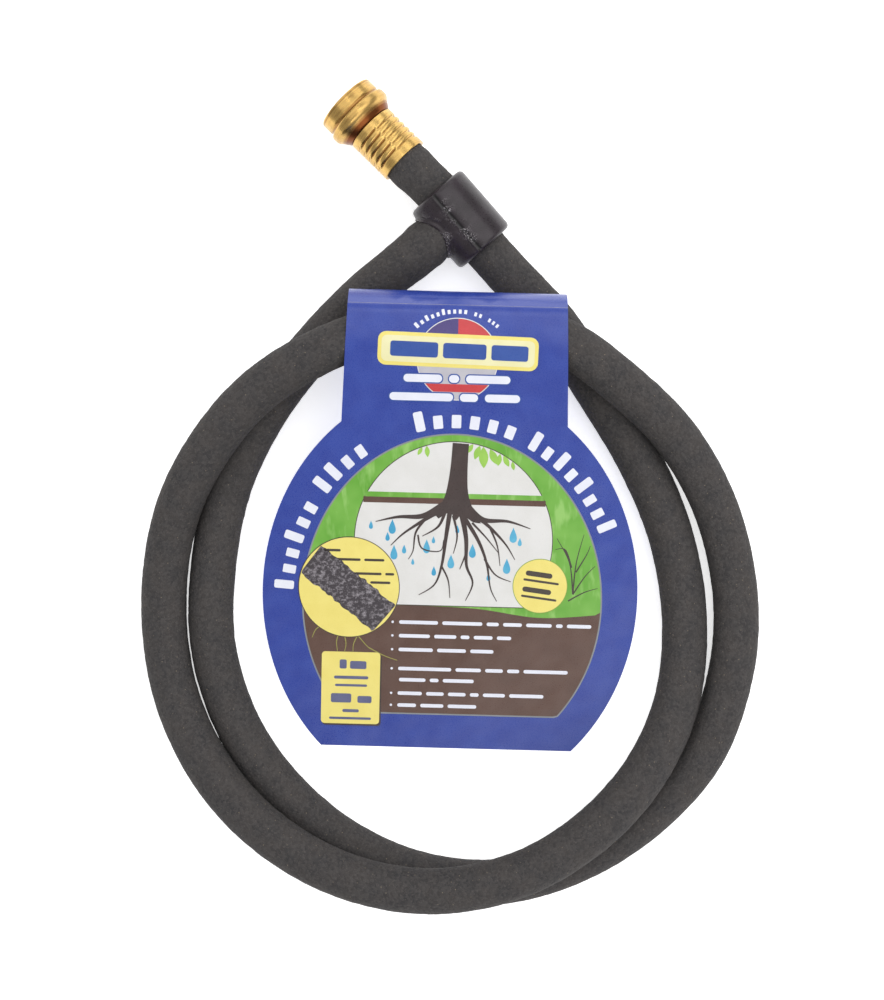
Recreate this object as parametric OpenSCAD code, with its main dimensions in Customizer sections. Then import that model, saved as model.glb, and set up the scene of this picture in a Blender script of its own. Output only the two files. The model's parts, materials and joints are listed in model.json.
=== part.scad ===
// Soaker ring: a porous rubber hose laid in two loose turns and closed into a
// ring by a moulded tee, fed through a crimped brass swivel coupling, with a
// folded hang card over its top strand.
// Millimetres. The ring lies on z = 0. +Y runs from the ring towards the
// coupling and the origin is the middle of the whole outline on the floor.

/* [Hose] */
// Outside diameter of the porous hose
hose_od = 20.6; // [20.2:0.1:20.6]
// Bore of the hose, nominal 5/8 inch
hose_id = 15.8; // [15.8:0.1:16.4]
// Flat sides around the hose
hose_sides = 12; // [8:2:12]
// Cross-sections along the ring hose
ring_sections = 80; // [60:1:90]

/* [Coupling] */
// Front band diameter of the swivel nut
nut_band_d = 28.8; // [28.4:0.1:30]
// Widest diameter of the swivel nut, at its bead
nut_bead_d = 31; // [30.4:0.1:32]
// Length of the swivel nut along its axis
nut_len = 16.2; // [15.8:0.1:17]
// Wall diameter of the nut's internal thread, at the crests
thread_d = 24.4; // [24.3:0.1:24.8]
// Length of the threaded wall
thread_len = 8; // [6:0.5:8]
// Outside diameter of the crimped ferrule
ferrule_d = 23.3; // [22.8:0.1:23.6]
// Length of the ferrule
ferrule_len = 21.6; // [21:0.1:22.4]
// Number of crimp grooves around the ferrule
groove_count = 5; // [3:1:5]
// Bore of the barbed tail piece
tail_bore_d = 12; // [10:0.5:12.5]

/* [Tee] */
// Outside diameter of the moulded tee sleeve
tee_d = 29.6; // [28:0.1:30]
// Length of the tee sleeve
tee_len = 33.6; // [30:0.1:36]
// Outside diameter of the lip around the branch
lip_d = 22.8; // [22.4:0.1:24]
// Height of the lip above the sleeve
lip_height = 1; // [0.6:0.1:1.5]
// Distance from the sleeve's middle to its branch, towards the coupling
branch_shift = 1.8; // [0:0.2:2]

/* [Card] */
// Thickness of the card stock
card_t = 0.5; // [0.4:0.1:0.6]
// Width of the card's neck at its fold
neck_top_w = 96; // [90:1:98]
// Width of the neck where it meets the oval
neck_low_w = 100; // [96:1:102]
// Width of the oval body
oval_w = 168; // [150:1:170]
// Height of the oval body before its foot is cut flat
oval_h = 190; // [180:1:192]
// Distance from the fold's axis to the oval's middle
oval_drop = 124; // [120:1:126]
// Distance from the fold's axis to the flat foot
card_drop = 194; // [188:1:195]

/* [Hidden] */

fine = 96;
hose_r = hose_od / 2;
bore_r = hose_id / 2;

// ---- Places -------------------------------------------------------------

// Tee: its middle, the compass heading of its run towards the coupling, and
// the tilt that lifts the coupling's side while the other rim is on the floor
tee_heading = 131.5;
tee_tilt = 4.5;
tee_mid = [4.5, 124.5, tee_d / 2 * cos(tee_tilt) + tee_len / 2 * sin(tee_tilt)];
// Half the width of the tee core's hub, which the two run hoses butt against
hub_half = 6;
// Distance from the tee's axis to the end of the branch hose
branch_stop = hose_r + 0.2;

// Coupling: x = 0 is the ferrule's rear rim and +X points out of the nut. The
// droop sets the nut's bead on the floor
coupling_heading = 135;
coupling_droop = 4;
nut_gap = 0.2;
nut_rear = ferrule_len + nut_gap;
nut_front = nut_rear + nut_len;
bead_from_front = 9.4;
bead_half = 1.2;
bead_low = nut_front - bead_from_front + bead_half;
coupling_rear = [
    -20.5, 150.5, nut_bead_d / 2 * cos(coupling_droop) + bead_low * sin(coupling_droop)
];

// Card: the fold's axis, at the height of the strand that it wraps
card_turn = -1.5;
fold_r = hose_r + 0.3;
fold_axis = [3, 79.5, 33.6];

// ---- Hose routes --------------------------------------------------------

function turn_y(v, a) = [v[0] * cos(a) + v[2] * sin(a), v[1], v[2] * cos(a) - v[0] * sin(a)];
function turn_z(v, a) = [v[0] * cos(a) - v[1] * sin(a), v[0] * sin(a) + v[1] * cos(a), v[2]];
// A point given along the tee's run and out along its branch
function tee_point(along, out) = tee_mid + turn_z(turn_y([along, out, 0], -tee_tilt), tee_heading);
// A point on the coupling's axis
function coupling_point(x) = coupling_rear + turn_z(turn_y([x, 0, 0], coupling_droop), coupling_heading);

// Middle line of the ring hose. It leaves the tee, passes under its own second
// turn, runs down the inside right, climbs over at the bottom, returns up the
// outside left, crosses the top inside the card, and goes round once more on
// the floor into the tee's branch
ring_route = concat(
    [tee_point(branch_shift - hub_half, 0), tee_point(-30, 0)],
    [
        [47, 78, 12], [65, 50, 11], [85, 17, 10.5],
        [99.5, -18, 10.4], [105.5, -55, 11.4], [101.5, -92, 17], [86, -124, 24.5],
        [61, -150, 29.5], [29.5, -168, 31.1], [-8, -175, 31.2], [-45, -169, 29.5],
        [-78, -152, 26], [-104, -127, 20], [-122, -94, 13.5], [-129, -58, 11],
        [-126, -20, 16], [-113.5, 12, 25], [-89.5, 43, 31.5], [-58, 64, 33.6],
        [-22, 76, 33.6], [15, 79, 33.6], [49, 69, 33.7], [77.5, 49, 29.5],
        [102, 25, 21.5], [120, -7, 13.7], [128.5, -44, 10.6], [126.5, -80, 10.4],
        [113.5, -116, 10.3], [88.5, -144, 10.3], [57, -164, 10.3], [21, -174, 10.3],
        [-16, -170, 10.3], [-49, -155, 10.3], [-76, -132, 10.3], [-96, -103, 10.3],
        [-107, -68, 10.3], [-107, -32, 10.3], [-100, 4, 10.3], [-85, 36, 10.4],
        [-63.5, 65, 10.8], [-40, 89.5, 13.2]
    ],
    [tee_point(branch_shift, 27), tee_point(branch_shift, branch_stop)]
);

// Middle line of the short inlet hose, from the tee into the ferrule
inlet_route = [
    tee_point(branch_shift + hub_half, 0), tee_point(tee_len / 2, 0),
    coupling_point(0), coupling_point(ferrule_len - 1)
];
inlet_sections = 16;

function spline(p, q, r, s, t) =
    (2 * q + (r - p) * t + (2 * p - 5 * q + 4 * r - s) * t * t
    + (3 * q - p - 3 * r + s) * t * t * t) / 2;
function route_point(route, u) =
    let (last = len(route) - 1, i = min(floor(u), last - 1))
    spline(route[max(i - 1, 0)], route[i], route[i + 1], route[min(i + 2, last)], u - i);
function unit(v) = v / norm(v);
// Direction of the route, from two points close on either side
function route_heading(route, u) =
    let (last = len(route) - 1, step = 0.01)
    unit(route_point(route, min(u + step, last)) - route_point(route, max(u - step, 0)));
// One cross-section of radius r, with a corner straight down
function section(route, u, r) =
    let (
        ahead = route_heading(route, u),
        side = unit(cross(ahead, [0, 0, 1])),
        up = cross(side, ahead)
    )
    [
        for (k = [0:hose_sides - 1])
        let (a = 360 / hose_sides * k - 90)
        route_point(route, u) + r * (cos(a) * side + sin(a) * up)
    ];

// ---- Shared shapes ------------------------------------------------------

// Hollow tube swept along a route as one closed surface
module hose_tube(route, sections) {
    stations = [for (k = [0:sections - 1]) k * (len(route) - 1) / (sections - 1)];
    flat_bore_r = bore_r / cos(180 / hose_sides);
    points = concat(
        [for (u = stations) each section(route, u, hose_r)],
        [for (u = stations) each section(route, u, flat_bore_r)]
    );
    inner = sections * hose_sides;
    end = inner - hose_sides;
    faces = [
        for (j = [0:hose_sides - 1])
        let (n = (j + 1) % hose_sides)
        each concat(
            [for (k = [0:hose_sides:end - 1]) [k + j, k + n, k + n + hose_sides, k + j + hose_sides]],
            [
                for (k = [inner:hose_sides:inner + end - 1])
                [k + j, k + j + hose_sides, k + n + hose_sides, k + n]
            ],
            [[j, inner + j, inner + n, n]],
            [[end + j, end + n, inner + end + n, inner + end + j]]
        )
    ];
    polyhedron(points = points, faces = faces);
}

// Solid of revolution about +X, from [x, radius] points
module turned(profile) {
    rotate([0, 90, 0])
        rotate_extrude($fn = fine)
            polygon([for (p = profile) [p[1], p[0]]]);
}

// Points of a quarter round about a centre, from one angle to another
function arc(centre, r, from, to, steps) = [
    for (k = [0:steps]) centre + r * [cos(from + (to - from) * k / steps), sin(from + (to - from) * k / steps)]
];

module at_coupling() {
    translate(coupling_rear)
        rotate([0, coupling_droop, coupling_heading])
            children();
}

module at_tee() {
    translate(tee_mid)
        rotate([0, -tee_tilt, tee_heading])
            children();
}

module at_card() {
    translate(fold_axis)
        rotate([0, 0, card_turn])
            children();
}

// Barbed spigot along +X from x = 0, with its tip away from the hub
module barbed_spigot(length, root_r, barb_r) {
    barbs = 4;
    pitch = length / barbs;
    turned(concat(
        [[0, 0]],
        [for (k = [0:barbs - 1]) each [[k * pitch, root_r], [k * pitch, barb_r]]],
        [[length, root_r], [length, 0]]
    ));
}

// ---- Hoses --------------------------------------------------------------

module ring_hose() {
    color("dimgray")
        hose_tube(ring_route, ring_sections);
}

module inlet_hose() {
    color("dimgray")
        hose_tube(inlet_route, inlet_sections);
}

// ---- Tee ----------------------------------------------------------------

// Moulded sleeve that seals the two run hoses and the branch hose together
module tee_cover() {
    half = tee_len / 2;
    edge = 1.2;
    color([0.16, 0.14, 0.16])
        at_tee()
            difference() {
                union() {
                    turned(concat(
                        [[-half, 0]],
                        arc([-half + edge, tee_d / 2 - edge], edge, 180, 90, 4),
                        arc([half - edge, tee_d / 2 - edge], edge, 90, 0, 4),
                        [[half, 0]]
                    ));
                    intersection() {
                        translate([branch_shift, 0, 0])
                            rotate([-90, 0, 0])
                                cylinder(h = tee_d, d = lip_d, $fn = fine);
                        rotate([0, 90, 0])
                            cylinder(
                                h = tee_len - 2 * edge, r = tee_d / 2 + lip_height,
                                center = true, $fn = fine
                            );
                    }
                }
                rotate([0, 90, 0])
                    cylinder(h = tee_len + 2, r = hose_r, center = true, $fn = fine);
                translate([branch_shift, 0, 0])
                    rotate([-90, 0, 0])
                        cylinder(h = tee_d, r = hose_r, $fn = fine);
            }
}

// Rigid barbed core inside the three hose ends
module tee_core() {
    barb_r = bore_r - 0.1;
    root_r = bore_r - 0.6;
    boss_r = hub_half - 0.3;
    run_bore_r = 5;
    branch_bore_r = 4.5;
    run_spigot = 15;
    branch_spigot = 16;
    color([0.25, 0.25, 0.27])
        at_tee()
            translate([branch_shift, 0, 0])
                difference() {
                    union() {
                        rotate([0, 90, 0])
                            cylinder(h = 2 * hub_half, r = hose_r - 0.1, center = true, $fn = fine);
                        rotate([-90, 0, 0])
                            cylinder(h = branch_stop + 1, r = boss_r, $fn = fine);
                        for (side = [0, 180])
                            rotate([0, 0, side])
                                translate([hub_half, 0, 0])
                                    barbed_spigot(run_spigot, root_r, barb_r);
                        rotate([0, 0, 90])
                            translate([branch_stop, 0, 0])
                                barbed_spigot(branch_spigot, root_r, barb_r);
                    }
                    rotate([0, 90, 0])
                        cylinder(
                            h = 2 * (hub_half + run_spigot) + 2, r = run_bore_r,
                            center = true, $fn = fine
                        );
                    rotate([-90, 0, 0])
                        cylinder(h = branch_stop + branch_spigot + 1, r = branch_bore_r, $fn = fine);
                }
}

// ---- Coupling -----------------------------------------------------------

// Wall behind the nut's cavity, with the hole that the tail piece turns in
nut_wall = 2.2;
neck_r = 8.6;
running_gap = 0.08;
washer_seat_r = thread_d / 2 + 0.5;
seat_start = nut_rear + nut_wall;
mouth_chamfer = 0.6;
thread_start = nut_front - mouth_chamfer - thread_len;

module swivel_nut() {
    band_r = nut_band_d / 2;
    bead_r = nut_bead_d / 2;
    cone_r = 11.7;
    cone_start = 12.4;
    bead_round = 1.8;
    function from_front(u) = nut_front - u;
    outside = concat(
        [[from_front(0), band_r - 0.6], [from_front(0.5), band_r]],
        [[from_front(5.8), band_r], [from_front(6.3), band_r - 0.5]],
        arc([from_front(bead_from_front - bead_half), bead_r - bead_round], bead_round, 20, 90, 4),
        arc([from_front(bead_from_front + bead_half), bead_r - bead_round], bead_round, 90, 135, 3),
        [[from_front(cone_start), bead_r - 1.3], [nut_rear, cone_r]]
    );
    inside = [
        [nut_rear, neck_r + running_gap], [seat_start, neck_r + running_gap],
        [seat_start, washer_seat_r], [thread_start, washer_seat_r],
        [thread_start, thread_d / 2], [thread_start + thread_len, thread_d / 2],
        [nut_front, thread_d / 2 + mouth_chamfer]
    ];
    color([0.85, 0.65, 0.28])
        at_coupling()
            turned(concat(outside, inside));
}

flange_t = 1.6;
flange_start = seat_start + 0.1;
restrictor_t = 0.8;
restrictor_start = flange_start + flange_t;
washer_start = restrictor_start + restrictor_t;
ferrule_wall = 1;

// Stem pressed into the hose, with a neck for the nut and a sealing flange
module tail_piece() {
    bore = tail_bore_d / 2;
    stem_r = bore_r - 0.1;
    root_r = bore_r - 0.5;
    stem_start = 1;
    barb_pitch = 4;
    barbs = 4;
    color([0.8, 0.6, 0.25])
        at_coupling()
            turned(concat(
                [[stem_start, bore], [stem_start, root_r]],
                [
                    for (k = [1:barbs])
                    each [[stem_start + k * barb_pitch, stem_r], [stem_start + k * barb_pitch, root_r]]
                ],
                [
                    [ferrule_len, root_r], [ferrule_len, neck_r],
                    [flange_start, neck_r], [flange_start, washer_seat_r - 0.5],
                    [restrictor_start, washer_seat_r - 0.5], [restrictor_start, bore]
                ]
            ));
}

// Brass sleeve crimped over the hose end, with a ring of grooves
module ferrule() {
    r = ferrule_d / 2;
    groove_pitch = 3.2;
    groove_depth = 0.5;
    groove_half = 0.75;
    last_groove = 4.6;
    color([0.85, 0.65, 0.28])
        at_coupling()
            turned(concat(
                [[0, hose_r], [0, r - 0.25], [0.3, r]],
                [
                    for (k = [0:groove_count - 1])
                    let (x = last_groove + k * groove_pitch)
                    each [
                        [x - groove_half, r], [x - 0.25, r - groove_depth],
                        [x + 0.25, r - groove_depth], [x + groove_half, r]
                    ]
                ],
                [
                    [ferrule_len - 0.4, r], [ferrule_len, r - 0.4],
                    [ferrule_len, bore_r - 0.5], [ferrule_len - ferrule_wall, bore_r - 0.5],
                    [ferrule_len - ferrule_wall, hose_r]
                ]
            ));
}

module hose_washer() {
    color([0.12, 0.12, 0.12])
        at_coupling()
            turned([
                [washer_start, 8.2], [washer_start, washer_seat_r - 0.2],
                [thread_start - 0.1, washer_seat_r - 0.2], [thread_start - 0.1, 8.2]
            ]);
}

// Thin disc with a small orifice that limits the flow into the hose
module flow_restrictor() {
    orifice_r = 0.8;
    color([0.2, 0.45, 0.3])
        at_coupling()
            turned([
                [restrictor_start, orifice_r], [restrictor_start, washer_seat_r - 0.4],
                [washer_start, washer_seat_r - 0.4], [washer_start, orifice_r]
            ]);
}

// ---- Card ---------------------------------------------------------------

// Flat stretch of each panel over or under the strand, before it slopes down
flat_run = 12;
// Heights of the undersides of the two panels' feet above the floor
back_foot = 0;
front_foot = 0.9;
// The crease between the panels, as an angle up the fold from its rear
crease_angle = 67;
crease_gap = 0.5;

function oval_point(a) = [oval_w / 2 * cos(a), -oval_drop + oval_h / 2 * sin(a)];

// Outline of both panels seen from above, with the fold at the top
module card_outline() {
    side_steps = 20;
    shoulder_angle = acos(neck_low_w / oval_w);
    foot_angle = -asin((card_drop - oval_drop) / (oval_h / 2));
    step_angle = (foot_angle - shoulder_angle) / side_steps;
    polygon(concat(
        [[-neck_top_w / 2, fold_r + 2], [neck_top_w / 2, fold_r + 2]],
        [for (k = [0:side_steps]) oval_point(shoulder_angle + step_angle * k)],
        [for (k = [0:side_steps]) oval_point(180 - foot_angle + step_angle * k)]
    ));
}

// A panel: its side view, in [y, z] points about the fold's axis, cut to the outline
module card_panel(side_view) {
    at_card()
        intersection() {
            rotate([90, 0, 90])
                linear_extrude(height = oval_w + 2, center = true)
                    polygon(side_view);
            translate([0, 0, -fold_axis[2]])
                linear_extrude(height = fold_axis[2] + 2 * fold_r)
                    card_outline();
        }
}

// Rear panel on the floor, with the fold that wraps the strand
module card_back_panel() {
    foot_z = back_foot - fold_axis[2];
    fold_steps = 12;
    outer_r = fold_r + card_t;
    end_angle = crease_angle - crease_gap;
    color([0.85, 0.86, 0.88])
        card_panel(concat(
            arc([0, 0], outer_r, end_angle, -90, fold_steps),
            [
                [-flat_run, -outer_r], [-card_drop, foot_z],
                [-card_drop, foot_z + card_t], [-flat_run, -fold_r]
            ],
            arc([0, 0], fold_r, -90, end_angle, fold_steps)
        ));
}

// Printed front panel, which lifts about the crease near the top of the fold
module card_front_panel() {
    foot_z = front_foot - fold_axis[2];
    fold_steps = 3;
    color([0.2, 0.28, 0.65])
        card_panel(concat(
            arc([0, 0], fold_r + card_t, crease_angle, 90, fold_steps),
            [
                [-flat_run, fold_r + card_t], [-card_drop, foot_z + card_t],
                [-card_drop, foot_z], [-flat_run, fold_r]
            ],
            arc([0, 0], fold_r, 90, crease_angle, fold_steps)
        ));
}

ring_hose();
inlet_hose();
tee_cover();
tee_core();
swivel_nut();
tail_piece();
ferrule();
hose_washer();
flow_restrictor();
card_back_panel();
card_front_panel();
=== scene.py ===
"""Looks for the soaker ring: porous hose, moulded tee, brass coupling and printed hang card.

Everything is in metres, in the CAD model's frame.
"""

import json
import math

import bpy
import numpy as np
from mathutils import Matrix, Vector, noise
from mathutils.geometry import delaunay_2d_cdt


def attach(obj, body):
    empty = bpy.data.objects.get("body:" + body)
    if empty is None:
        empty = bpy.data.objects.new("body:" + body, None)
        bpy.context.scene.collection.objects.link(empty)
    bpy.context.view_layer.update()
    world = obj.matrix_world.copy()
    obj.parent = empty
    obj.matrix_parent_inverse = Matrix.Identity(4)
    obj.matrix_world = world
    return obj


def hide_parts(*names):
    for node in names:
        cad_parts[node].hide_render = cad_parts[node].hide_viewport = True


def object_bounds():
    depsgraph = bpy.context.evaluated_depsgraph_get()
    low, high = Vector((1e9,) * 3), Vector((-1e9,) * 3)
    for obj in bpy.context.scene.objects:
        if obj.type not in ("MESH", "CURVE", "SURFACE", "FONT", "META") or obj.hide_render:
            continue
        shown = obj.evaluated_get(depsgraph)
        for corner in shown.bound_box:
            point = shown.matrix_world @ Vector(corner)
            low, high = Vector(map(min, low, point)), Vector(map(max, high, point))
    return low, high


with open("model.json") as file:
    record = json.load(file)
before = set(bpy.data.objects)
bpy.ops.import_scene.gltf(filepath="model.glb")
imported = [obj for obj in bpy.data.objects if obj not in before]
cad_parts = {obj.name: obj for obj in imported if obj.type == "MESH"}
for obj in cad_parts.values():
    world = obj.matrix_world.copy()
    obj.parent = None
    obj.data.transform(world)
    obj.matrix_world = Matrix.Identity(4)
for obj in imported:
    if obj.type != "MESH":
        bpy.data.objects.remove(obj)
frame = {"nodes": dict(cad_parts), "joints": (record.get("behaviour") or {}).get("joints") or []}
cad_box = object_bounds()

MM = 0.001
TAU = math.tau

# ---- Driving sizes, as in the CAD source

HOSE_R = 10.3 * MM
HOSE_BORE_R = 7.9 * MM
TEE_R = 14.8 * MM
TEE_LEN = 33.6 * MM
LIP_R = 11.4 * MM
LIP_HEIGHT = 1.0 * MM
BRANCH_SHIFT = 1.8 * MM
HUB_HALF = 6.0 * MM
BRANCH_STOP = HOSE_R + 0.2 * MM
TEE_TILT = math.radians(4.5)
TEE_HEADING = math.radians(131.5)
FERRULE_R = 11.65 * MM
FERRULE_LEN = 21.6 * MM
NUT_REAR = 21.8 * MM
NUT_LEN = 16.2 * MM
CARD_T = 0.5 * MM
FOLD_R = HOSE_R + 0.3 * MM
FLAT_RUN = 12.0 * MM
CARD_DROP = 194.0 * MM
CREASE = math.radians(67)
CREASE_GAP = math.radians(0.5)
CARD_TURN = math.radians(-1.5)

# ---- Places

tee_height = TEE_R * math.cos(TEE_TILT) + TEE_LEN / 2 * math.sin(TEE_TILT)
tee_place = (
    Matrix.Translation((4.5 * MM, 124.5 * MM, tee_height))
    @ Matrix.Rotation(TEE_HEADING, 4, "Z")
    @ Matrix.Rotation(-TEE_TILT, 4, "Y")
)

# The nut's joint gives the coupling's axis, and lies this far from its rear rim
JOINT_FROM_REAR = 30 * MM
nut_joint = next(j for j in frame["joints"] if j["name"] == "nut_spin")
coupling_axis = Vector(nut_joint["axis"]).normalized()
coupling_rear = Vector(nut_joint["pos_m"]) - JOINT_FROM_REAR * coupling_axis
coupling_place = (
    Matrix.Translation(coupling_rear) @ coupling_axis.to_track_quat("X", "Z").to_matrix().to_4x4()
)

FOLD_AXIS = (3 * MM, 79.5 * MM, 33.6 * MM)
card_place = Matrix.Translation(FOLD_AXIS) @ Matrix.Rotation(CARD_TURN, 4, "Z")


def tee_point(along, out):
    """A point given along the tee's run and out along its branch."""
    return tuple(tee_place @ Vector((along, out, 0)))


def coupling_point(x):
    """A point on the coupling's axis, from the ferrule's rear rim."""
    return tuple(coupling_place @ Vector((x, 0, 0)))


# ---- Hose routes, the CAD source's own points

FREE_RUN = MM * np.array([
    (47, 78, 12), (65, 50, 11), (85, 17, 10.5),
    (99.5, -18, 10.4), (105.5, -55, 11.4), (101.5, -92, 17), (86, -124, 24.5),
    (61, -150, 29.5), (29.5, -168, 31.1), (-8, -175, 31.2), (-45, -169, 29.5),
    (-78, -152, 26), (-104, -127, 20), (-122, -94, 13.5), (-129, -58, 11),
    (-126, -20, 16), (-113.5, 12, 25), (-89.5, 43, 31.5), (-58, 64, 33.6),
    (-22, 76, 33.6), (15, 79, 33.6), (49, 69, 33.7), (77.5, 49, 29.5),
    (102, 25, 21.5), (120, -7, 13.7), (128.5, -44, 10.6), (126.5, -80, 10.4),
    (113.5, -116, 10.3), (88.5, -144, 10.3), (57, -164, 10.3), (21, -174, 10.3),
    (-16, -170, 10.3), (-49, -155, 10.3), (-76, -132, 10.3), (-96, -103, 10.3),
    (-107, -68, 10.3), (-107, -32, 10.3), (-100, 4, 10.3), (-85, 36, 10.4),
    (-63.5, 65, 10.8), (-40, 89.5, 13.2),
])
RING_ROUTE = np.vstack([
    tee_point(BRANCH_SHIFT - HUB_HALF, 0), tee_point(-30 * MM, 0),
    FREE_RUN,
    tee_point(BRANCH_SHIFT, 27 * MM), tee_point(BRANCH_SHIFT, BRANCH_STOP),
])
INLET_ROUTE = np.vstack([
    tee_point(BRANCH_SHIFT + HUB_HALF, 0), tee_point(TEE_LEN / 2, 0),
    coupling_point(0), coupling_point(FERRULE_LEN - 1 * MM),
])


# ---- Camera

CAMERA_PLACE = (-3.8 * MM, -1.6 * MM, 1150 * MM)
CAMERA_LENS = 90.88


def add_camera():
    """The photograph's view: straight down, with +Y up the picture."""
    camera = bpy.data.cameras.new("camera")
    camera.lens = CAMERA_LENS
    holder = bpy.data.objects.new("camera", camera)
    holder.location = CAMERA_PLACE
    bpy.context.scene.collection.objects.link(holder)
    bpy.context.scene.camera = holder


# ---- Mesh helpers

def mesh_piece(name, points, faces, materials, place=None, face_material=None):
    """A smooth-shaded mesh object, with its place worked into its points."""
    mesh = bpy.data.meshes.new(name)
    mesh.from_pydata([tuple(p) for p in points], [], faces)
    for material in materials:
        mesh.materials.append(material)
    if face_material is not None:
        mesh.polygons.foreach_set("material_index", face_material)
    if place is not None:
        mesh.transform(place)
    mesh.validate()
    mesh.shade_smooth()
    piece = bpy.data.objects.new(name, mesh)
    bpy.context.scene.collection.objects.link(piece)
    return piece


def note(piece, name, values):
    """Stores a value or a vector at each point of a piece for its material."""
    kind = "FLOAT_VECTOR" if values.ndim == 2 else "FLOAT"
    stored = piece.data.attributes.new(name, kind, "POINT")
    stored.data.foreach_set("vector" if values.ndim == 2 else "value", values.astype(np.float32).ravel())


def crease_by_angle(piece, degrees):
    """Keeps edges sharper than an angle crisp under smooth shading."""
    piece.data.set_sharp_from_angle(angle=math.radians(degrees))


def finish_modifiers(piece):
    """Applies a piece's modifiers."""
    graph = bpy.context.evaluated_depsgraph_get()
    result = bpy.data.meshes.new_from_object(piece.evaluated_get(graph))
    piece.modifiers.clear()
    piece.data = result


def lumps(points, size, seed):
    """Smooth noise from -1 to 1 at each point, in lumps of about that size."""
    shift = Vector((seed, 2 * seed, 3 * seed))
    return np.array([noise.noise(Vector(p) / size + shift) for p in points])


def unit(vectors):
    return vectors / np.linalg.norm(vectors, axis=-1, keepdims=True)


def smooth_step(value, low, high):
    t = np.clip((value - low) / (high - low), 0, 1)
    return t * t * (3 - 2 * t)


def bell(value, middle, width):
    return np.exp(-((value - middle) / width) ** 2)


def spline_points(route, per_span):
    """Points on a Catmull-Rom spline through a route, in any number of axes."""
    ends = np.vstack([route[:1], route, route[-1:]])
    t = np.linspace(0, 1, per_span, endpoint=False)[:, None]
    spans = [
        (2 * q + (r - p) * t + (2 * p - 5 * q + 4 * r - s) * t**2 + (3 * q - p - 3 * r + s) * t**3) / 2
        for p, q, r, s in zip(ends, ends[1:], ends[2:], ends[3:])
    ]
    return np.vstack(spans + [route[-1:]])


def even_line(points, step):
    """The same line as points an even distance apart, and how far along each is."""
    run = np.concatenate([[0], np.cumsum(np.linalg.norm(np.diff(points, axis=0), axis=1))])
    along = np.linspace(0, run[-1], round(run[-1] / step) + 1)
    line = np.stack([np.interp(along, run, axis) for axis in points.T], axis=1)
    return line, along


# ---- Material helper

def rgb(red, green, blue):
    """A linear colour from sRGB values of 0 to 255."""
    linear = [((c / 255 + 0.055) / 1.055) ** 2.4 if c > 10 else c / 3295 for c in (red, green, blue)]
    return (*linear, 1)


class Finish:
    """A Principled material and short calls for wiring its nodes."""

    def __init__(self, name, roughness=0.5, metallic=0.0, specular=0.5):
        self.material = bpy.data.materials.new(name)
        self.material.use_nodes = True
        self.tree = self.material.node_tree
        self.surface = self.tree.nodes["Principled BSDF"]
        self.set("Roughness", roughness)
        self.set("Metallic", metallic)
        self.set("Specular IOR Level", specular)

    def set(self, socket, value):
        """Sets one of the surface's inputs to a value or links a node's output to it."""
        self.feed(value, self.surface.inputs[socket])

    def feed(self, value, socket):
        if isinstance(value, bpy.types.NodeSocket):
            self.tree.links.new(value, socket)
        else:
            socket.default_value = value

    def add(self, kind, **settings):
        node = self.tree.nodes.new(kind)
        for key, value in settings.items():
            setattr(node, key, value)
        return node

    def where(self, attribute=None):
        """The piece's own coordinates, or a vector stored on its points."""
        if attribute:
            return self.add("ShaderNodeAttribute", attribute_name=attribute).outputs["Vector"]
        return self.add("ShaderNodeTexCoord").outputs["Object"]

    def stretched(self, place, factors):
        node = self.add("ShaderNodeMapping")
        self.feed(place, node.inputs["Vector"])
        node.inputs["Scale"].default_value = factors
        return node.outputs["Vector"]

    def stored(self, attribute):
        return self.add("ShaderNodeAttribute", attribute_name=attribute).outputs["Fac"]

    def noise(self, place, size, detail=2.0, rough=0.5):
        node = self.add("ShaderNodeTexNoise")
        self.feed(place, node.inputs["Vector"])
        node.inputs["Scale"].default_value = 1 / size
        node.inputs["Detail"].default_value = detail
        node.inputs["Roughness"].default_value = rough
        return node.outputs["Fac"]

    def cells(self, place, size, output="Distance"):
        node = self.add("ShaderNodeTexVoronoi")
        self.feed(place, node.inputs["Vector"])
        node.inputs["Scale"].default_value = 1 / size
        return node.outputs[output]

    def spread(self, value, low, high, to_low=0.0, to_high=1.0):
        node = self.add("ShaderNodeMapRange")
        for slot, number in enumerate((value, low, high, to_low, to_high)):
            self.feed(number, node.inputs[slot])
        return node.outputs[0]

    def sum(self, operation, first, second):
        node = self.add("ShaderNodeMath", operation=operation)
        self.feed(first, node.inputs[0])
        self.feed(second, node.inputs[1])
        return node.outputs[0]

    def mix(self, amount, first, second):
        node = self.add("ShaderNodeMix", data_type="RGBA")
        self.feed(amount, node.inputs["Factor"])
        self.feed(first, node.inputs[6])
        self.feed(second, node.inputs[7])
        return node.outputs[2]

    def bump(self, height, distance, under=None):
        node = self.add("ShaderNodeBump")
        self.feed(height, node.inputs["Height"])
        node.inputs["Distance"].default_value = distance
        if under is not None:
            self.feed(under, node.inputs["Normal"])
        return node.outputs["Normal"]


# ---- Materials

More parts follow.
